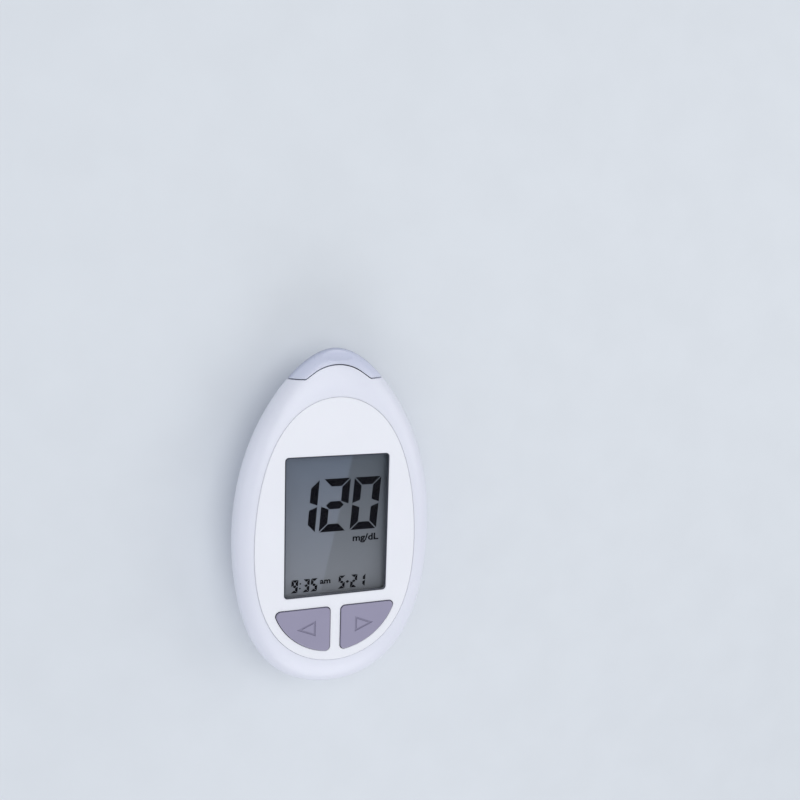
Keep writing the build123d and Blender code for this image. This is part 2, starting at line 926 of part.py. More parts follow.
with BuildPart() as rear_cover:
    add(rear_envelope())
    add(rear_envelope(cover_wall), mode=Mode.SUBTRACT)
    add(rear_fittings.part)
    tongue_root_outer = rim_points(cover_wall - tongue_gap)
    add(egg_ring(tongue_root_outer, tongue_inner, rim_height - tongue_root, rim_height - tongue_gap))
    add(egg_ring(tongue_outer, tongue_inner, rim_height - tongue_root, rim_height + tongue_rise))
    block(-bay_x, bay_x, bay_bottom, bay_top, 0, bay_ceiling, mode=Mode.SUBTRACT)
    add(cell_cradle.part)
    for side in (-1, 1):
        block(
            side * (bay_x - ledge_width / 2) - ledge_width / 2,
            side * (bay_x - ledge_width / 2) + ledge_width / 2,
            bay_bottom + ledge_margin,
            hinge_y - 2 * ledge_margin,
            door_top + ledge_gap,
            door_top + ledge_gap + ledge_height,
        )
        with BuildSketch(Plane.YZ.offset(side * bay_x)):
            with Locations((hinge_y, hinge_z)):
                Circle(hinge_pin_radius + hinge_clearance)
        bore_depth = hinge_pin_length - door_gap + hinge_bore_spare
        extrude(amount=side * bore_depth, mode=Mode.SUBTRACT)
    disc(0, bay_bottom, thumb_radius, 0, thumb_depth, mode=Mode.SUBTRACT)
    for x, y in boss_places:
        disc(x, y, screw_head_radius + screw_clearance, 0, screw_seat, mode=Mode.SUBTRACT)
        disc(x, y, screw_radius + screw_clearance, screw_seat, boss_meet, mode=Mode.SUBTRACT)
    for x, y in post_places:
        pilot_low = board_top - board_screw_length - pilot_spare
        disc(x, y, board_screw_radius + thread_clearance, pilot_low, board_bottom, mode=Mode.SUBTRACT)
    block(
        side_contact_x - spring_gap,
        side_contact_x + spring_thickness + spring_gap,
        cell_y - side_contact_pin / 2 - spring_gap,
        cell_y + side_contact_pin / 2 + spring_gap,
        bay_ceiling,
        bay_ceiling + bay_ceiling_thickness,
        mode=Mode.SUBTRACT,
    )
    block(
        -side_contact_pin / 2 - spring_gap,
        side_contact_pin / 2 + spring_gap,
        spring_pin_y - spring_thickness - spring_gap,
        spring_pin_y + spring_gap,
        bay_ceiling,
        bay_ceiling + bay_ceiling_thickness,
        mode=Mode.SUBTRACT,
    )
    pane(
        label_width,
        label_y - label_length / 2,
        label_y + label_length / 2,
        label_corner,
        0,
        label_depth,
        mode=Mode.SUBTRACT,
    )
    add(cap_cut, mode=Mode.SUBTRACT)
save(rear_cover.part, "rear_cover")

with BuildPart() as label_plate:
    pane(
        label_width - 2 * screw_clearance,
        label_y - label_length / 2 + screw_clearance,
        label_y + label_length / 2 - screw_clearance,
        label_corner - screw_clearance,
        label_depth - label_thickness,
        label_depth,
    )
save(label_plate.part, "label_plate")

with BuildPart() as housing_screws:
    for x, y in boss_places:
        disc(x, y, screw_head_radius, screw_seat - screw_head, screw_seat)
        disc(x, y, screw_radius, screw_seat, screw_seat + screw_length)
        for across, along in ((screw_drive, drive_width / 2), (drive_width / 2, screw_drive)):
            block(
                x - across,
                x + across,
                y - along,
                y + along,
                screw_seat - screw_head,
                screw_seat - screw_head / 2,
                mode=Mode.SUBTRACT,
            )
save(housing_screws.part, "housing_screws")


# ---------------------------------------------------------------- battery door
door_x = bay_x - door_gap
door_low_y = bay_bottom + door_gap
with BuildPart() as battery_door:
    block(-door_x, door_x, door_low_y, hinge_y + door_thickness / 2, door_sink, door_top)
    barrel = battery_door.edges().filter_by(Axis.X).group_by(Axis.Y)[-1]
    fillet(barrel, radius=door_thickness / 2 - thread_clearance)
    for side in (-1, 1):
        block(
            side * (latch_width + latch_slot) / 2 - latch_slot / 2,
            side * (latch_width + latch_slot) / 2 + latch_slot / 2,
            door_low_y,
            door_low_y + latch_length,
            door_sink,
            door_top,
            mode=Mode.SUBTRACT,
        )
        with BuildSketch(Plane.YZ.offset(side * door_x)):
            with Locations((hinge_y, hinge_z)):
                Circle(hinge_pin_radius)
        extrude(amount=side * hinge_pin_length)
    block(
        -latch_width / 2,
        latch_width / 2,
        door_low_y + latch_setback,
        door_low_y + latch_setback + latch_wall,
        door_top,
        door_top + latch_height,
    )
    for rib in range(grip_ribs):
        rib_y = door_low_y + grip_pitch * (rib + 1)
        block(
            -latch_width / 2 + latch_wall,
            latch_width / 2 - latch_wall,
            rib_y - grip_width / 2,
            rib_y + grip_width / 2,
            door_sink - grip_height,
            door_sink,
        )
save(battery_door.part, "battery_door")

with BuildPart() as door_pad:
    pad_low = cell_y - pad_side / 2
    pane(pad_side, pad_low, pad_low + pad_side, label_corner, door_top, door_top + pad_thickness)
save(door_pad.part, "door_pad")
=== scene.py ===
"""Dresses the hand-held blood glucose meter: its finishes, its display's figures and the stage."""
import math

import bmesh
import bpy
from mathutils import Matrix, Vector


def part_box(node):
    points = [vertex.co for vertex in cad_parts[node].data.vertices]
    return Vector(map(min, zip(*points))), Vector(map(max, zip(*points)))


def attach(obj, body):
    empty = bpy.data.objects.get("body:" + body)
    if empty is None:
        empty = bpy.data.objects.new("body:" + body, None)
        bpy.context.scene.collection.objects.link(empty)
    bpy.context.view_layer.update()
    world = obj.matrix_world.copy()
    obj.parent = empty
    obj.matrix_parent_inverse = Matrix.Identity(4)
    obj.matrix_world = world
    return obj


bl_info = {
    "name": "Blood glucose meter",
    "version": (1, 0, 0),
    "blender": (4, 5, 0),
    "location": "View3D > Sidebar > Meter",
    "description": "Finishes and display of a hand-held blood glucose meter",
    "category": "Object",
}

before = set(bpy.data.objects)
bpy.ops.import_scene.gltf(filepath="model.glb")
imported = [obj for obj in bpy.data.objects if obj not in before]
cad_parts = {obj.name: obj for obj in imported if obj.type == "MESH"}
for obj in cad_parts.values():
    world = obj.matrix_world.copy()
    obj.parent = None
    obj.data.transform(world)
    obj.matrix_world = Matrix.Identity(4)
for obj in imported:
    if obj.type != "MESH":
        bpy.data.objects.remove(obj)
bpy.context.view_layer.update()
MM = 0.001

# ---------------------------------------------------------------- window and display glass
WINDOW_LOW, WINDOW_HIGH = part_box("display_window")
WINDOW_MIDDLE = (WINDOW_LOW + WINDOW_HIGH) / 2
WINDOW_CORNER = 1.0 * MM    # radius of the window's corners
WINDOW_STEP = 0.88 * MM     # the window's sides show down to this depth
WINDOW_SKIN = 0.03 * MM     # the grey of the sides reaches this far in
FLANGE = 0.9 * MM           # hidden step round the window, under the face plate
BORDER_LINE = 0.3 * MM      # width of the dark line round the window
BORDER_DEPTH = 0.05 * MM    # the line stays this near to the window's top
WINDOW_GLOSS = 0.007        # share of the sheet that reflects, where the rest is clear
GLASS_GLOSS = 0.003
SHEET_ROUGHNESS = (0.03, 0.08)
HAZE_SCALE = 200.0
CLEAR_TINT = (0.95, 0.97, 1.0, 1.0)
BORDER_INK = (0.05, 0.055, 0.075, 1.0)
SIDE_GREY = (0.46, 0.49, 0.53, 1.0)

CRYSTAL_LOW, CRYSTAL_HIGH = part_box("display_rear_glass")
PAINTED_REFLECTION_PORT_SHARE = (0.58, 0.68, 0.80)   # painted reflection: share of the display's colour at the end by the strip port
PAINTED_REFLECTION_KEY_SHARE = (1.48, 1.42, 1.35)    # painted reflection: share of it at the end by the keys
CRYSTAL_ROUGHNESS = (0.35, 0.5)
CRYSTAL_GRAIN_SCALE = 4000.0
PAINTED_REFLECTION_SLANT = -0.22                        # the painted reflection's edge leans by this share of its length
PAINTED_REFLECTION_EDGE = (0.5 * MM, 1.2 * MM)          # where the painted reflection's edge starts and ends, across the meter
PAINTED_REFLECTION_STRENGTH = (0.65, 0.25)              # how dark its far side is at the end by the strip port and the one by the keys
# colour that darkens the display past the painted reflection's edge
PAINTED_REFLECTION_DARK = (0.48, 0.46, 0.38, 1.0)

# ---------------------------------------------------------------- figures
# which of its seven bars a sign lights: a top, b upper right, c lower right, d bottom,
# e lower left, f upper left, g middle
LIT_BARS = {
    "0": "abcdef",
    "1": "bc",
    "2": "abged",
    "3": "abgcd",
    "5": "afgcd",
    "9": "abcdfg",
    "-": "g",
}
INK_THICKNESS = 0.03 * MM
BAR_GAP = 0.10              # of the bar's width, at each end of a bar
BLUNT_SHARE = 0.6           # of the bar's width, given back to an end that is cut less
# every place below is measured from a point this far from the one under the window's middle
SIGHT_SHIFT = Vector((0.4 * MM, -0.9 * MM, 0))
READING_RIGHT = 11.45 * MM  # right side and foot of the large figures
READING_FOOT = -1.5 * MM
READING_GAP = 1.1 * MM      # between two large figures
CLOCK_FOOT = -18.15 * MM    # foot and sizes of the small figures
CLOCK_HEIGHT, CLOCK_WIDTH, CLOCK_BAR = 3.7 * MM, 1.85 * MM, 0.7 * MM
CLOCK_SIGNS = (             # each small sign and its left side in millimetres
    ("9", -12.3), ("3", -9.1), ("5", -6.9),
    ("5", 0.9), ("-", 2.55), ("2", 4.35), ("1", 6.7),
)
COLON_PLACE = -9.85 * MM    # across the display
COLON_SHARES = (0.32, 0.68)   # the dots' levels, as shares of the small figures' height
COLON_DOT = (0.6 * MM, 0.5 * MM)
UNIT_WORDS = (              # each word, its lower left corner, letter size and width in mm
    ("mg/dL", 4.75, -4.7, 2.6, 7.4),
    ("am", -4.2, -16.2, 2.2, 3.0),
)
LETTER_SWELL = 0.03         # how much bolder the letters are, as a share of their size
LETTER_STEPS = 3            # steps in each curve of a letter
MERGE_REACH = 0.001 * MM    # points of a letter that lie this close become one

# ---------------------------------------------------------------- moulded and metal finishes
BLOTCH_SCALE, BLOTCH_DETAIL = 60.0, 3.0
BLOTCH_SPAN = (0.35, 0.65)
GRAIN_SCALE, GRAIN_DETAIL = 900.0, 4.0
PIT_DEPTH = 0.05 * MM
GLOW_DEPTH = 1.5 * MM       # how far light wanders inside a pale moulding
GLOW_SPREAD = (1.0, 0.9, 1.0)

CAP_PAINTED_SHADE_TOP = 17.4 * MM    # painted shade on the cap, darker from this level down towards its outer edge
CAP_PAINTED_SHADE_FADE = 2.6 * MM
CAP_PAINTED_SHADE_COLOR = (0.42, 0.44, 0.52, 1.0)
KEY_PAINTED_SHADE_DROP = 0.12 * MM   # painted shade on the keys' edges, from this far under their tops
KEY_PAINTED_SHADE_FADE = 0.2 * MM
KEY_PAINTED_SHADE_COLOR = (0.45, 0.45, 0.50, 1.0)

# ---------------------------------------------------------------- stage
FLOOR_SIZE = 3.0
SENSOR_WIDTH = 36.0
NEAREST_SIGHT = 10 * MM
LAMPS = (                   # name, place, width in metres, watts, colour
    ("key_lamp", (-0.03, 0.20, 0.70), 0.60, 2.0, (1.0, 0.99, 0.98)),
    ("side_lamp", (0.60, 0.15, 0.40), 0.60, 1.1, (1.0, 0.99, 0.98)),
    ("fill_lamp", (-0.60, 0.05, 0.35), 0.50, 0.45, (0.85, 0.92, 1.0)),
    ("low_lamp", (0.05, -0.65, 0.40), 0.60, 1.6, (0.97, 0.97, 1.0)),
)
WORLD_COLOR = (0.90, 0.93, 1.0, 1.0)
WORLD_LEVEL = 0.42


# ---------------------------------------------------------------- settings
class MeterFinishSettings(bpy.types.PropertyGroup):
    """Colours of the meter's visible pieces."""

    cover_color: bpy.props.FloatVectorProperty(
        name="Cover", description="Gloss plastic of the front cover",
        subtype="COLOR", size=3, min=0, max=1, default=(0.77, 0.79, 0.88),
    )
    plate_color: bpy.props.FloatVectorProperty(
        name="Face plate", description="Gloss plastic of the oval face plate",
        subtype="COLOR", size=3, min=0, max=1, default=(0.86, 0.875, 0.935),
    )
    rear_color: bpy.props.FloatVectorProperty(
        name="Rear cover", description="Satin plastic of the rear cover and door",
        subtype="COLOR", size=3, min=0, max=1, default=(0.66, 0.67, 0.78),
    )
    key_color: bpy.props.FloatVectorProperty(
        name="Keys", description="Satin plastic of the two keys",
        subtype="COLOR", size=3, min=0, max=1, default=(0.305, 0.29, 0.405),
    )
    cap_color: bpy.props.FloatVectorProperty(
        name="Port cap", description="Smoke tint of the strip port cap",
        subtype="COLOR", size=3, min=0, max=1, default=(0.64, 0.675, 0.82),
    )
    crystal_color: bpy.props.FloatVectorProperty(
        name="Display", description="Grey of the liquid crystal display",
        subtype="COLOR", size=3, min=0, max=1, default=(0.158, 0.178, 0.214),
    )


class MeterDisplaySettings(bpy.types.PropertyGroup):
    """The large figures on the display."""

    reading: bpy.props.StringProperty(
        name="Reading", description="Large figures on the display", default="120",
    )
    digit_height: bpy.props.FloatProperty(
        name="Digit height", description="Height of the large figures",
        default=14.8 * MM, unit="LENGTH", subtype="DISTANCE", min=MM,
    )
    digit_width: bpy.props.FloatProperty(
        name="Digit width", description="Width of a large figure",
        default=7.55 * MM, unit="LENGTH", subtype="DISTANCE", min=MM,
    )
    bar_width: bpy.props.FloatProperty(
        name="Bar width", description="Width of a bar of the large figures",
        default=2.15 * MM, unit="LENGTH", subtype="DISTANCE", min=MM / 10,
    )
    lean: bpy.props.FloatProperty(
        name="Lean", description="How far all the figures lean to the right",
        default=math.radians(4.5), unit="ROTATION", subtype="ANGLE",
    )


class MeterStageSettings(bpy.types.PropertyGroup):
    """The camera and the floor."""

    distance: bpy.props.FloatProperty(
        name="Distance", description="From the aim point to the camera",
        default=237.9 * MM, unit="LENGTH", subtype="DISTANCE", min=MM,
    )
    turn: bpy.props.FloatProperty(
        name="Turn", description="How far the camera stands round to the right of the display",
        default=math.radians(-19.6), unit="ROTATION", subtype="ANGLE",
    )
    rise: bpy.props.FloatProperty(
        name="Rise", description="How far the camera stands round towards the strip port",
        default=math.radians(10.25), unit="ROTATION", subtype="ANGLE",
    )
    roll: bpy.props.FloatProperty(
        name="Roll", description="How far the camera is turned about its own axis",
        default=math.radians(1.85), unit="ROTATION", subtype="ANGLE",
    )
    lens: bpy.props.FloatProperty(
        name="Lens", description="Focal length on a 36 mm sensor",
        default=39.6, unit="CAMERA", min=1,
    )
    aim_x: bpy.props.FloatProperty(
        name="Aim X", description="Aim point across the meter",
        default=17.5 * MM, unit="LENGTH",
    )
    aim_y: bpy.props.FloatProperty(
        name="Aim Y", description="Aim point along the meter",
        default=32.9 * MM, unit="LENGTH",
    )
    aim_z: bpy.props.FloatProperty(
        name="Aim Z", description="Aim point above the floor",
        default=18.0 * MM, unit="LENGTH",
    )
    floor_color: bpy.props.FloatVectorProperty(
        name="Floor", description="Colour of the floor",
        subtype="COLOR", size=3, min=0, max=1, default=(0.72, 0.76, 0.80),
    )


# ---------------------------------------------------------------- modelling helpers
def deselect_all():
    """Leaves object mode with nothing selected."""
    if bpy.context.object and bpy.context.object.mode != "OBJECT":
        bpy.ops.object.mode_set(mode="OBJECT")
    bpy.ops.object.select_all(action="DESELECT")


def select_vertices(piece, test):
    """Selects the vertices that pass the test, in edit mode."""
    mesh = bmesh.from_edit_mesh(piece.data)
    for part in (*mesh.faces, *mesh.edges):
        part.select = False
    for vertex in mesh.verts:
        vertex.select = test(vertex.co)
    mesh.select_flush_mode()
    bmesh.update_edit_mesh(piece.data)


def settle(piece):
    """Moves the object's place into its mesh."""
    deselect_all()
    piece.select_set(True)
    bpy.context.view_layer.objects.active = piece
    bpy.ops.object.transform_apply(location=True, rotation=True, scale=True)


def join(pieces, name):
    """Joins the pieces into one, with its place in its mesh."""
    deselect_all()
    for piece in pieces:
        piece.select_set(True)
    bpy.context.view_layer.objects.active = pieces[0]
    bpy.ops.object.join()
    whole = bpy.context.object
    whole.name = name
    whole.data.name = name
    settle(whole)
    return whole


def mounted(piece, body, finish):
    """Gives a finished piece its finish and the body that it rides on."""
    piece.data.materials.clear()
    piece.data.materials.append(finish.material)
    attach(piece, body)


def display_bar(center, length, width, upright, mitre, blunt=0):
    """One thin bar with its ends cut at a slant.

    mitre is the long side that the cuts shorten: -1, +1, or 0 for both, which makes points.
    blunt is the end that is cut less: -1, +1, or 0 for neither.
    """
    deselect_all()
    bpy.ops.mesh.primitive_plane_add(size=1, location=(0, 0, 0))
    bar = bpy.context.object
    bar.scale = (length, width, 1)
    settle(bar)
    bpy.ops.object.mode_set(mode="EDIT")
    if mitre:
        select_vertices(bar, lambda co: co.y * mitre > 0)
        short = (length - 2 * width) / length
        bpy.ops.transform.resize(value=(short, 1, 1), center_override=(0, 0, 0))
        if blunt:
            select_vertices(bar, lambda co: co.y * mitre > 0 and co.x * blunt > 0)
            bpy.ops.transform.translate(value=(BLUNT_SHARE * width * blunt, 0, 0))
    else:
        bpy.ops.mesh.select_all(action="SELECT")
        bpy.ops.mesh.subdivide(number_cuts=1)
        select_vertices(bar, lambda co: abs(co.y) > width / 4)
        short = (length - width) / length
        bpy.ops.transform.resize(value=(short, 1, 1), center_override=(0, 0, 0))
    bpy.ops.mesh.select_all(action="SELECT")
    bpy.ops.mesh.extrude_region_move(TRANSFORM_OT_translate={"value": (0, 0, INK_THICKNESS)})
    bpy.ops.mesh.select_all(action="SELECT")
    bpy.ops.mesh.normals_make_consistent(inside=False)
    bpy.ops.object.mode_set(mode="OBJECT")
    if upright:
        bar.data.transform(Matrix.Rotation(math.radians(90), 4, "Z"))
    bar.data.transform(Matrix.Translation(center))
    return bar


def display_sign(sign, place, width, height, bar):
    """The lit bars of one sign. place is its lower left corner before it leans."""
    gap = 2 * BAR_GAP * bar
    rise = (height - bar) / 2
    low = rise / 2 + bar / 4
    high = height - low
    tall = rise + bar / 2 - gap
    bars = {
        "a": ((width / 2, height - bar / 2), width - gap, False, -1, 0),
        "b": ((width - bar / 2, high), tall, True, 1, -1),
        "c": ((width - bar / 2, low), tall, True, 1, 1),
        "d": ((width / 2, bar / 2), width - gap, False, 1, 0),
        "e": ((bar / 2, low), tall, True, -1, 1),
        "f": ((bar / 2, high), tall, True, -1, -1),
        "g": ((width / 2, height / 2), width - bar - gap, False, 0, 0),
    }
    lit = []
    for letter in LIT_BARS[sign]:
        (x, y), length, upright, mitre, blunt = bars[letter]
        lit.append(display_bar(place + Vector((x, y, 0)), length, bar, upright, mitre, blunt))
    return lit


def leaned(pieces, foot, lean):
    """Leans the pieces to the right about their foot."""
    shear = Matrix.Identity(4)
    shear[0][1] = math.tan(lean)
    about = Matrix.Translation((0, foot, 0)) @ shear @ Matrix.Translation((0, -foot, 0))
    for piece in pieces:
        piece.data.transform(about)


def small_words(words, place, size, width):
    """Thin letters as a mesh, with the lower left corner at the place, set to the width."""
    deselect_all()
    bpy.ops.object.text_add(location=(0, 0, 0))
    letters = bpy.context.object
    letters.data.body = words
    letters.data.size = size
    letters.data.extrude = INK_THICKNESS / 2
    letters.data.offset = LETTER_SWELL * size
    letters.data.resolution_u = LETTER_STEPS
    bpy.ops.object.convert(target="MESH")
    letters = bpy.context.object
    bpy.ops.object.mode_set(mode="EDIT")
    bpy.ops.mesh.select_all(action="SELECT")
    bpy.ops.mesh.remove_doubles(threshold=MERGE_REACH)
    bpy.ops.mesh.normals_make_consistent(inside=False)
    bpy.ops.object.mode_set(mode="OBJECT")
    letters.scale = (width / letters.dimensions.x, 1, 1)
    letters.location = place
    settle(letters)
    return letters


# ---------------------------------------------------------------- finishes
class Finish:
    """A node material in the making, with the few kinds of node that the finishes use.

    A value given to a socket is another node's output, a number or a colour.
    """

    def __init__(self, name):
        self.material = bpy.data.materials.new(name)
        self.material.use_nodes = True
        self.tree = self.material.node_tree
        self.shader = self.tree.nodes["Principled BSDF"]
        self.place = self.node("ShaderNodeTexCoord").outputs["Object"]

    def node(self, kind, sockets=None, **choices):
        """Adds a node, makes its choices, and feeds its sockets."""
        node = self.tree.nodes.new(kind)
        for choice, value in choices.items():
            setattr(node, choice, value)
        self.feed(node, sockets or {})
        return node

    def feed(self, node, sockets):
        """Links or sets a node's input sockets."""
        for socket, value in sockets.items():
            if isinstance(value, bpy.types.NodeSocket):
                self.tree.links.new(value, node.inputs[socket])
            else:
                node.inputs[socket].default_value = value

    def surface(self, sockets):
        """Links or sets the shader's own sockets."""
        self.feed(self.shader, sockets)

    def axes(self):
        """The coordinates X, Y and Z of the piece."""
        return self.node("ShaderNodeSeparateXYZ", {"Vector": self.place}).outputs

    def noise(self, scale, detail=2.0):
        """Soft spots, from 0 to 1."""
        sockets = {"Vector": self.place, "Scale": scale, "Detail": detail}
        return self.node("ShaderNodeTexNoise", sockets).outputs["Fac"]

    def math(self, operation, *values):
        """The result of a sum on one or two values."""
        return self.node("ShaderNodeMath", dict(enumerate(values)), operation=operation).outputs[0]

    def ranged(self, value, low, high, start=0.0, end=1.0, ease="LINEAR"):
        """Goes from low to high as the value goes from start to end."""
        sockets = {
            "Value": value, "From Min": start, "From Max": end, "To Min": low, "To Max": high}
        node = self.node("ShaderNodeMapRange", sockets, interpolation_type=ease)
        return node.outputs["Result"]

    def shaded(self, value, first, last, span=(0.0, 1.0)):
        """Goes from the first colour to the last as the value goes through the span."""
        ramp = self.node("ShaderNodeValToRGB", {"Fac": value})
        for stop, place, color in zip(ramp.color_ramp.elements, span, (first, last)):
            stop.position = place
            stop.color = (*color, 1)
        return ramp.outputs["Color"]

    def mixed(self, share, first, second, blend="MIX"):
        """The first colour, with the share of the second laid over it."""
        sockets = {"Factor": share, "A": first, "B": second}
        node = self.node("ShaderNodeMix", sockets, data_type="RGBA", blend_type=blend)
        return node.outputs["Result"]


def scaled(color, shares):
    """A colour with each channel taken by its share."""
    return [channel * share for channel, share in zip(color, shares)]


def grained(name, color, roughness=0.4, grain=0.05, bump=0.04, bump_scale=2500.0,
            metallic=0.0, coat=0.0, coat_roughness=0.05, glow=0.0, blotch=0.02):
    """A moulded or metal surface: slight blotches of colour, a fine grain and a fine bump."""
    finish = Finish(name)
    dark = [channel * (1 - blotch) for channel in color]
    light = [min(1.0, channel * (1 + blotch)) for channel in color]
    cloud = finish.noise(BLOTCH_SCALE, BLOTCH_DETAIL)
    speck = finish.noise(GRAIN_SCALE, GRAIN_DETAIL)
    finish.surface({
        "Base Color": finish.shaded(cloud, dark, light, BLOTCH_SPAN),
        "Roughness": finish.ranged(speck, roughness - grain, roughness + grain),
        "Metallic": metallic,
        "Coat Weight": coat,
        "Coat Roughness": coat_roughness,
    })
    if bump:
        relief = finish.node("ShaderNodeBump", {
            "Strength": bump, "Distance": PIT_DEPTH, "Height": finish.noise(bump_scale)})
        finish.surface({"Normal": relief.outputs["Normal"]})
    if glow:
        finish.surface({
            "Subsurface Weight": glow,
            "Subsurface Radius": GLOW_SPREAD,
            "Subsurface Scale": GLOW_DEPTH,
        })
    return finish


def painted_shade_below(finish, level, fade, shade):
    """Paints shade on a finish, darker from the level down and fully so from a drop of fade."""
    tint = finish.shader.inputs["Base Color"].links[0].from_socket
    drop = finish.ranged(finish.axes()["Z"], 0.0, 1.0, level, level - fade, "SMOOTHSTEP")
    finish.surface({"Base Color": finish.mixed(drop, tint, shade, "MULTIPLY")})
    return finish


def clear_sheet(name, gloss):
    """A clear sheet that shows what lies under it, with a weak reflection on top."""
    finish = Finish(name)
    finish.surface({
        "Base Color": CLEAR_TINT,
        "Metallic": 1.0,
        "Roughness": finish.ranged(finish.noise(HAZE_SCALE), *SHEET_ROUGHNESS),
        "Alpha": gloss,
    })
    finish.material.surface_render_method = "BLENDED"
    return finish


def window_finish():
    """Clear acrylic with a dark line printed round its border and grey sides."""
    finish = clear_sheet("window_acrylic", WINDOW_GLOSS)
    axes = finish.axes()
    # the reach is measured out from the rectangle on whose corners the round ones are centred
    squares = []
    for axis, low, high in zip("XY", WINDOW_LOW, WINDOW_HIGH):
        core = (high - low) / 2 - FLANGE - WINDOW_CORNER
        away = finish.math("ABSOLUTE", finish.math("SUBTRACT", axes[axis], (low + high) / 2))
        past = finish.math("MAXIMUM", finish.math("SUBTRACT", away, core), 0.0)
        squares.append(finish.math("MULTIPLY", past, past))
    reach = finish.math("SQRT", finish.math("ADD", *squares))
    bands = []
    for width, depth in ((BORDER_LINE, BORDER_DEPTH), (WINDOW_SKIN, WINDOW_STEP)):
        outer = finish.math("GREATER_THAN", reach, WINDOW_CORNER - width)
        high = finish.math("GREATER_THAN", axes["Z"], WINDOW_HIGH.z - depth)
        bands.append(finish.math("MULTIPLY", outer, high))
    border, side = bands
    solid = finish.math("MAXIMUM", border, side)
    finish.surface({
        "Base Color": finish.mixed(border, finish.mixed(side, CLEAR_TINT, SIDE_GREY), BORDER_INK),
        "Metallic": finish.math("SUBTRACT", 1.0, solid),
        "Alpha": finish.ranged(solid, WINDOW_GLOSS, 1.0),
    })
    return finish


def crystal_finish(color):
    """Grey display glass with a painted reflection: lighter towards the keys, and darker past a
    slanting edge across it.
    """
    finish = Finish("liquid_crystal_painted_reflection")
    axes = finish.axes()
    # painted reflection: lighter from the strip port's end to the keys' end
    fall = finish.ranged(axes["Y"], 0.0, 1.0, CRYSTAL_HIGH.y, CRYSTAL_LOW.y)
    tone = finish.shaded(
        fall, scaled(color, PAINTED_REFLECTION_PORT_SHARE), scaled(color, PAINTED_REFLECTION_KEY_SHARE))
    # painted reflection: darker past a slanting edge, more so by the strip port
    across = finish.math("ADD", axes["X"], finish.math("MULTIPLY", axes["Y"], PAINTED_REFLECTION_SLANT))
    step = finish.ranged(across, 0.0, 1.0, *PAINTED_REFLECTION_EDGE)
    depth = finish.math("MULTIPLY", step, finish.ranged(fall, *PAINTED_REFLECTION_STRENGTH))
    finish.surface({
        "Base Color": finish.mixed(depth, tone, PAINTED_REFLECTION_DARK, "MULTIPLY"),
        "Roughness": finish.ranged(finish.noise(CRYSTAL_GRAIN_SCALE), *CRYSTAL_ROUGHNESS),
    })
    return finish


def dress(names, finish):
    """Gives CAD nodes their finish."""
    for name in names:
        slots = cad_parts[name].data.materials
        slots.clear()
        slots.append(finish.material)


# ---------------------------------------------------------------- operators
class METER_OT_covers(bpy.types.Operator):
    """Finish the covers, the face plate and the back"""

    bl_idname = "meter.covers"
    bl_label = "Covers"

    def execute(self, context):
        colors = context.scene.meter_finish
        dress(["front_cover"], grained(
            "cover_gloss", colors.cover_color, roughness=0.36, grain=0.03, bump=0.03,
            bump_scale=700, coat=0.25, coat_roughness=0.25, glow=0.15, blotch=0.01))
        dress(["face_plate"], grained(
            "plate_gloss", colors.plate_color, roughness=0.32, grain=0.03, bump=0.02,
            bump_scale=700, coat=0.25, coat_roughness=0.2, glow=0.15, blotch=0.008))
        dress(["rear_cover", "battery_door"], grained(
            "rear_satin", colors.rear_color, roughness=0.42, grain=0.08, bump=0.25,
            bump_scale=3500))
        dress(["label_plate"], grained(
            "label_film", (0.74, 0.75, 0.80), roughness=0.5, bump=0.05, blotch=0.01))
        dress(["housing_screws", "board_screws"], grained(
            "screw_steel", (0.42, 0.42, 0.44), roughness=0.35, grain=0.12, metallic=1.0,
            bump=0.1))
        return {"FINISHED"}


class METER_OT_keys(bpy.types.Operator):
    """Finish the keys and their switches"""

    bl_idname = "meter.keys"
    bl_label = "Keys"

    def execute(self, context):
        colors = context.scene.meter_finish
        satin = grained(
            "key_satin_painted_shade", colors.key_color, roughness=0.38, grain=0.06, bump=0.12,
            bump_scale=3000, coat=0.15, coat_roughness=0.2)
        key_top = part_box("right_key")[1].z
        # painted shade on the keys' rounded edges
        dress(["left_key", "right_key"], painted_shade_below(
            satin, key_top - KEY_PAINTED_SHADE_DROP, KEY_PAINTED_SHADE_FADE, KEY_PAINTED_SHADE_COLOR))
        switches = [
            "left_switch_base", "right_switch_base", "left_switch_stem", "right_switch_stem"]
        dress(switches, grained("switch_black", (0.02, 0.02, 0.022), roughness=0.45, bump=0.1))
        return {"FINISHED"}


class METER_OT_display(bpy.types.Operator):
    """Finish the window, the display glass and what holds it"""

    bl_idname = "meter.display"
    bl_label = "Display"

    def execute(self, context):
        colors = context.scene.meter_finish
        dress(["display_window"], window_finish())
        dress(["display_front_glass"], clear_sheet("front_glass", GLASS_GLOSS))
        dress(["display_rear_glass"], crystal_finish(colors.crystal_color))
        dress(["display_reflector"], grained(
            "reflector_film", (0.5, 0.52, 0.52), roughness=0.3, metallic=0.8, bump=0.1))
        dress(["display_gasket", "door_pad"], grained(
            "foam", (0.03, 0.03, 0.035), roughness=0.85, bump=0.8, blotch=0.2))
        dress(["display_holder", "strip_connector"], grained(
            "inner_plastic", (0.05, 0.05, 0.06), roughness=0.5, bump=0.1))
        dress(["zebra_strip"], grained(
            "zebra_rubber", (0.6, 0.6, 0.62), roughness=0.7, bump=0.2, blotch=0.1))
        return {"FINISHED"}


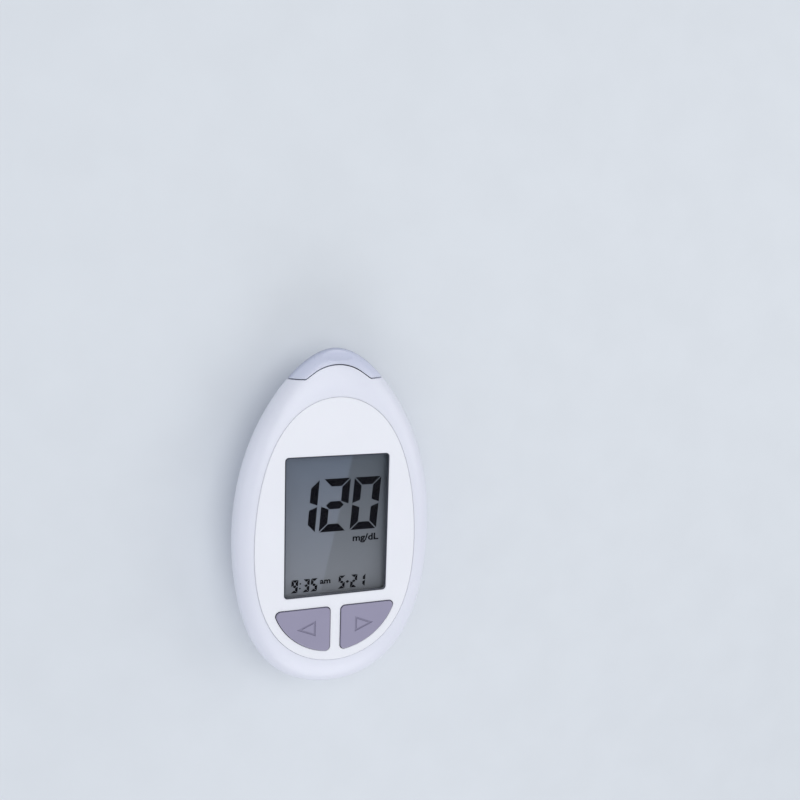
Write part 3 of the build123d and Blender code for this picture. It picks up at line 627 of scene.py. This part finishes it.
class METER_OT_figures(bpy.types.Operator):
    """Model the figures on the display"""

    bl_idname = "meter.figures"
    bl_label = "Figures"

    def execute(self, context):
        sizes = context.scene.meter_display
        middle = WINDOW_MIDDLE + SIGHT_SHIFT
        middle.z = CRYSTAL_HIGH.z
        ink = grained("crystal_ink", (0.002, 0.002, 0.004), roughness=0.6, bump=0.0, blotch=0.3)
        ink.surface({"Specular IOR Level": 0.0})

        large = []
        last = middle + Vector((READING_RIGHT - sizes.digit_width, READING_FOOT, 0))
        for order, sign in enumerate(reversed(sizes.reading)):
            place = last - Vector((order * (sizes.digit_width + READING_GAP), 0, 0))
            large += display_sign(
                sign, place, sizes.digit_width, sizes.digit_height, sizes.bar_width)
        leaned(large, last.y, sizes.lean)
        mounted(join(large, "reading_figures"), "housing", ink)

        small = []
        row = middle + Vector((0, CLOCK_FOOT, 0))
        for sign, left in CLOCK_SIGNS:
            place = row + Vector((left * MM, 0, 0))
            small += display_sign(sign, place, CLOCK_WIDTH, CLOCK_HEIGHT, CLOCK_BAR)
        for share in COLON_SHARES:
            center = row + Vector((COLON_PLACE, share * CLOCK_HEIGHT, 0))
            small.append(display_bar(center, *COLON_DOT, upright=False, mitre=0))
        leaned(small, row.y, sizes.lean)
        mounted(join(small, "clock_figures"), "housing", ink)

        words = []
        for word, left, foot, size, width in UNIT_WORDS:
            place = middle + Vector((left * MM, foot * MM, INK_THICKNESS / 2))
            words.append(small_words(word, place, size * MM, width * MM))
        mounted(join(words, "unit_words"), "housing", ink)
        return {"FINISHED"}


class METER_OT_port(bpy.types.Operator):
    """Finish the strip port cap and the connector's contacts"""

    bl_idname = "meter.port"
    bl_label = "Strip port"

    def execute(self, context):
        colors = context.scene.meter_finish
        smoke = grained(
            "smoke_cap", colors.cap_color, roughness=0.28, grain=0.02, bump=0.02,
            bump_scale=700, coat=0.35, coat_roughness=0.15, glow=0.2, blotch=0.015)
        # painted shade towards the cap's outer edge, over its own smoke colour
        dress(["strip_port_cap"], painted_shade_below(
            smoke, CAP_PAINTED_SHADE_TOP, CAP_PAINTED_SHADE_FADE, CAP_PAINTED_SHADE_COLOR))
        dress(["strip_contacts"], grained(
            "gold_plate", (0.75, 0.52, 0.18), roughness=0.25, metallic=1.0, bump=0.05))
        return {"FINISHED"}


class METER_OT_inside(bpy.types.Operator):
    """Finish the board, its parts, the cell and its contacts"""

    bl_idname = "meter.inside"
    bl_label = "Inside"

    def execute(self, context):
        dress(["main_board"], grained(
            "solder_mask", (0.01, 0.09, 0.035), roughness=0.3, bump=0.15, bump_scale=1500,
            coat=0.3, blotch=0.15))
        dress(["microcontroller", "chip_parts", "buzzer"], grained(
            "moulded_epoxy", (0.02, 0.02, 0.022), roughness=0.5, bump=0.2, blotch=0.1))
        dress(["clock_crystal", "battery_negative_contact", "battery_positive_contact"], grained(
            "nickel_plate", (0.6, 0.58, 0.54), roughness=0.28, metallic=1.0, bump=0.05))
        dress(["coin_cell"], grained(
            "cell_steel", (0.66, 0.66, 0.68), roughness=0.22, metallic=1.0, bump=0.05))
        return {"FINISHED"}


class METER_OT_stage(bpy.types.Operator):
    """Set up the floor, the camera, the lamps and the world"""

    bl_idname = "meter.stage"
    bl_label = "Stage"

    def execute(self, context):
        stage = context.scene.meter_stage
        deselect_all()
        bpy.ops.mesh.primitive_plane_add(size=FLOOR_SIZE, location=(0, 0, 0))
        floor = context.object
        floor.name = "floor"
        floor.data.materials.append(grained(
            "floor_paint", stage.floor_color, roughness=0.6, bump=0.0, blotch=0.01).material)

        aim = Vector((stage.aim_x, stage.aim_y, stage.aim_z))
        turned = Matrix.Rotation(stage.turn, 3, "Y") @ Matrix.Rotation(-stage.rise, 3, "X")
        outward = (turned @ Vector((0, 0, 1))).normalized()
        up = (Vector((0, 1, 0)) - outward * outward.y).normalized()
        right = up.cross(outward)
        pose = Matrix((right, up, outward)).transposed()
        pose = Matrix.Rotation(stage.roll, 3, outward) @ pose
        lens = bpy.data.cameras.new("camera")
        lens.lens = stage.lens
        lens.sensor_width = SENSOR_WIDTH
        lens.clip_start = NEAREST_SIGHT
        camera = bpy.data.objects.new("camera", lens)
        place = Matrix.Translation(aim + outward * stage.distance)
        camera.matrix_world = place @ pose.to_4x4()
        context.scene.collection.objects.link(camera)
        context.scene.camera = camera

        for name, place, size, power, color in LAMPS:
            deselect_all()
            bpy.ops.object.light_add(type="AREA", location=place)
            lamp = context.object
            lamp.name = name
            lamp.data.shape = "DISK"
            lamp.data.size = size
            lamp.data.energy = power
            lamp.data.color = color
            lamp.rotation_euler = (-Vector(place)).to_track_quat("-Z", "Y").to_euler()

        world = bpy.data.worlds.new("studio")
        context.scene.world = world
        world.use_nodes = True
        background = world.node_tree.nodes["Background"]
        background.inputs["Color"].default_value = WORLD_COLOR
        background.inputs["Strength"].default_value = WORLD_LEVEL
        context.scene.view_settings.view_transform = "Standard"
        return {"FINISHED"}


class METER_PT_panel(bpy.types.Panel):
    """Lists the meter's pieces and settings"""

    bl_label = "Blood glucose meter"
    bl_idname = "METER_PT_panel"
    bl_space_type = "VIEW_3D"
    bl_region_type = "UI"
    bl_category = "Meter"

    def draw(self, context):
        for operator in OPERATORS:
            self.layout.operator(operator.bl_idname)
        for _, name in SETTINGS:
            group = getattr(context.scene, name)
            box = self.layout.box()
            for setting in group.bl_rna.properties.keys():
                if setting not in ("rna_type", "name"):
                    box.prop(group, setting)


OPERATORS = (
    METER_OT_covers,
    METER_OT_keys,
    METER_OT_display,
    METER_OT_figures,
    METER_OT_port,
    METER_OT_inside,
    METER_OT_stage,
)
SETTINGS = (
    (MeterFinishSettings, "meter_finish"),
    (MeterDisplaySettings, "meter_display"),
    (MeterStageSettings, "meter_stage"),
)


def register():
    """Registers the settings, the operators and the panel."""
    for group, name in SETTINGS:
        bpy.utils.register_class(group)
        setattr(bpy.types.Scene, name, bpy.props.PointerProperty(type=group))
    for operator in OPERATORS:
        bpy.utils.register_class(operator)
    bpy.utils.register_class(METER_PT_panel)


def unregister():
    """Takes them out again, in the opposite order."""
    bpy.utils.unregister_class(METER_PT_panel)
    for operator in reversed(OPERATORS):
        bpy.utils.unregister_class(operator)
    for group, name in reversed(SETTINGS):
        delattr(bpy.types.Scene, name)
        bpy.utils.unregister_class(group)


def main():
    """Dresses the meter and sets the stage."""
    register()
    bpy.ops.meter.covers()
    bpy.ops.meter.keys()
    bpy.ops.meter.display()
    bpy.ops.meter.figures()
    bpy.ops.meter.port()
    bpy.ops.meter.inside()
    bpy.ops.meter.stage()
    bpy.context.view_layer.update()


if __name__ == "__main__":
    main()
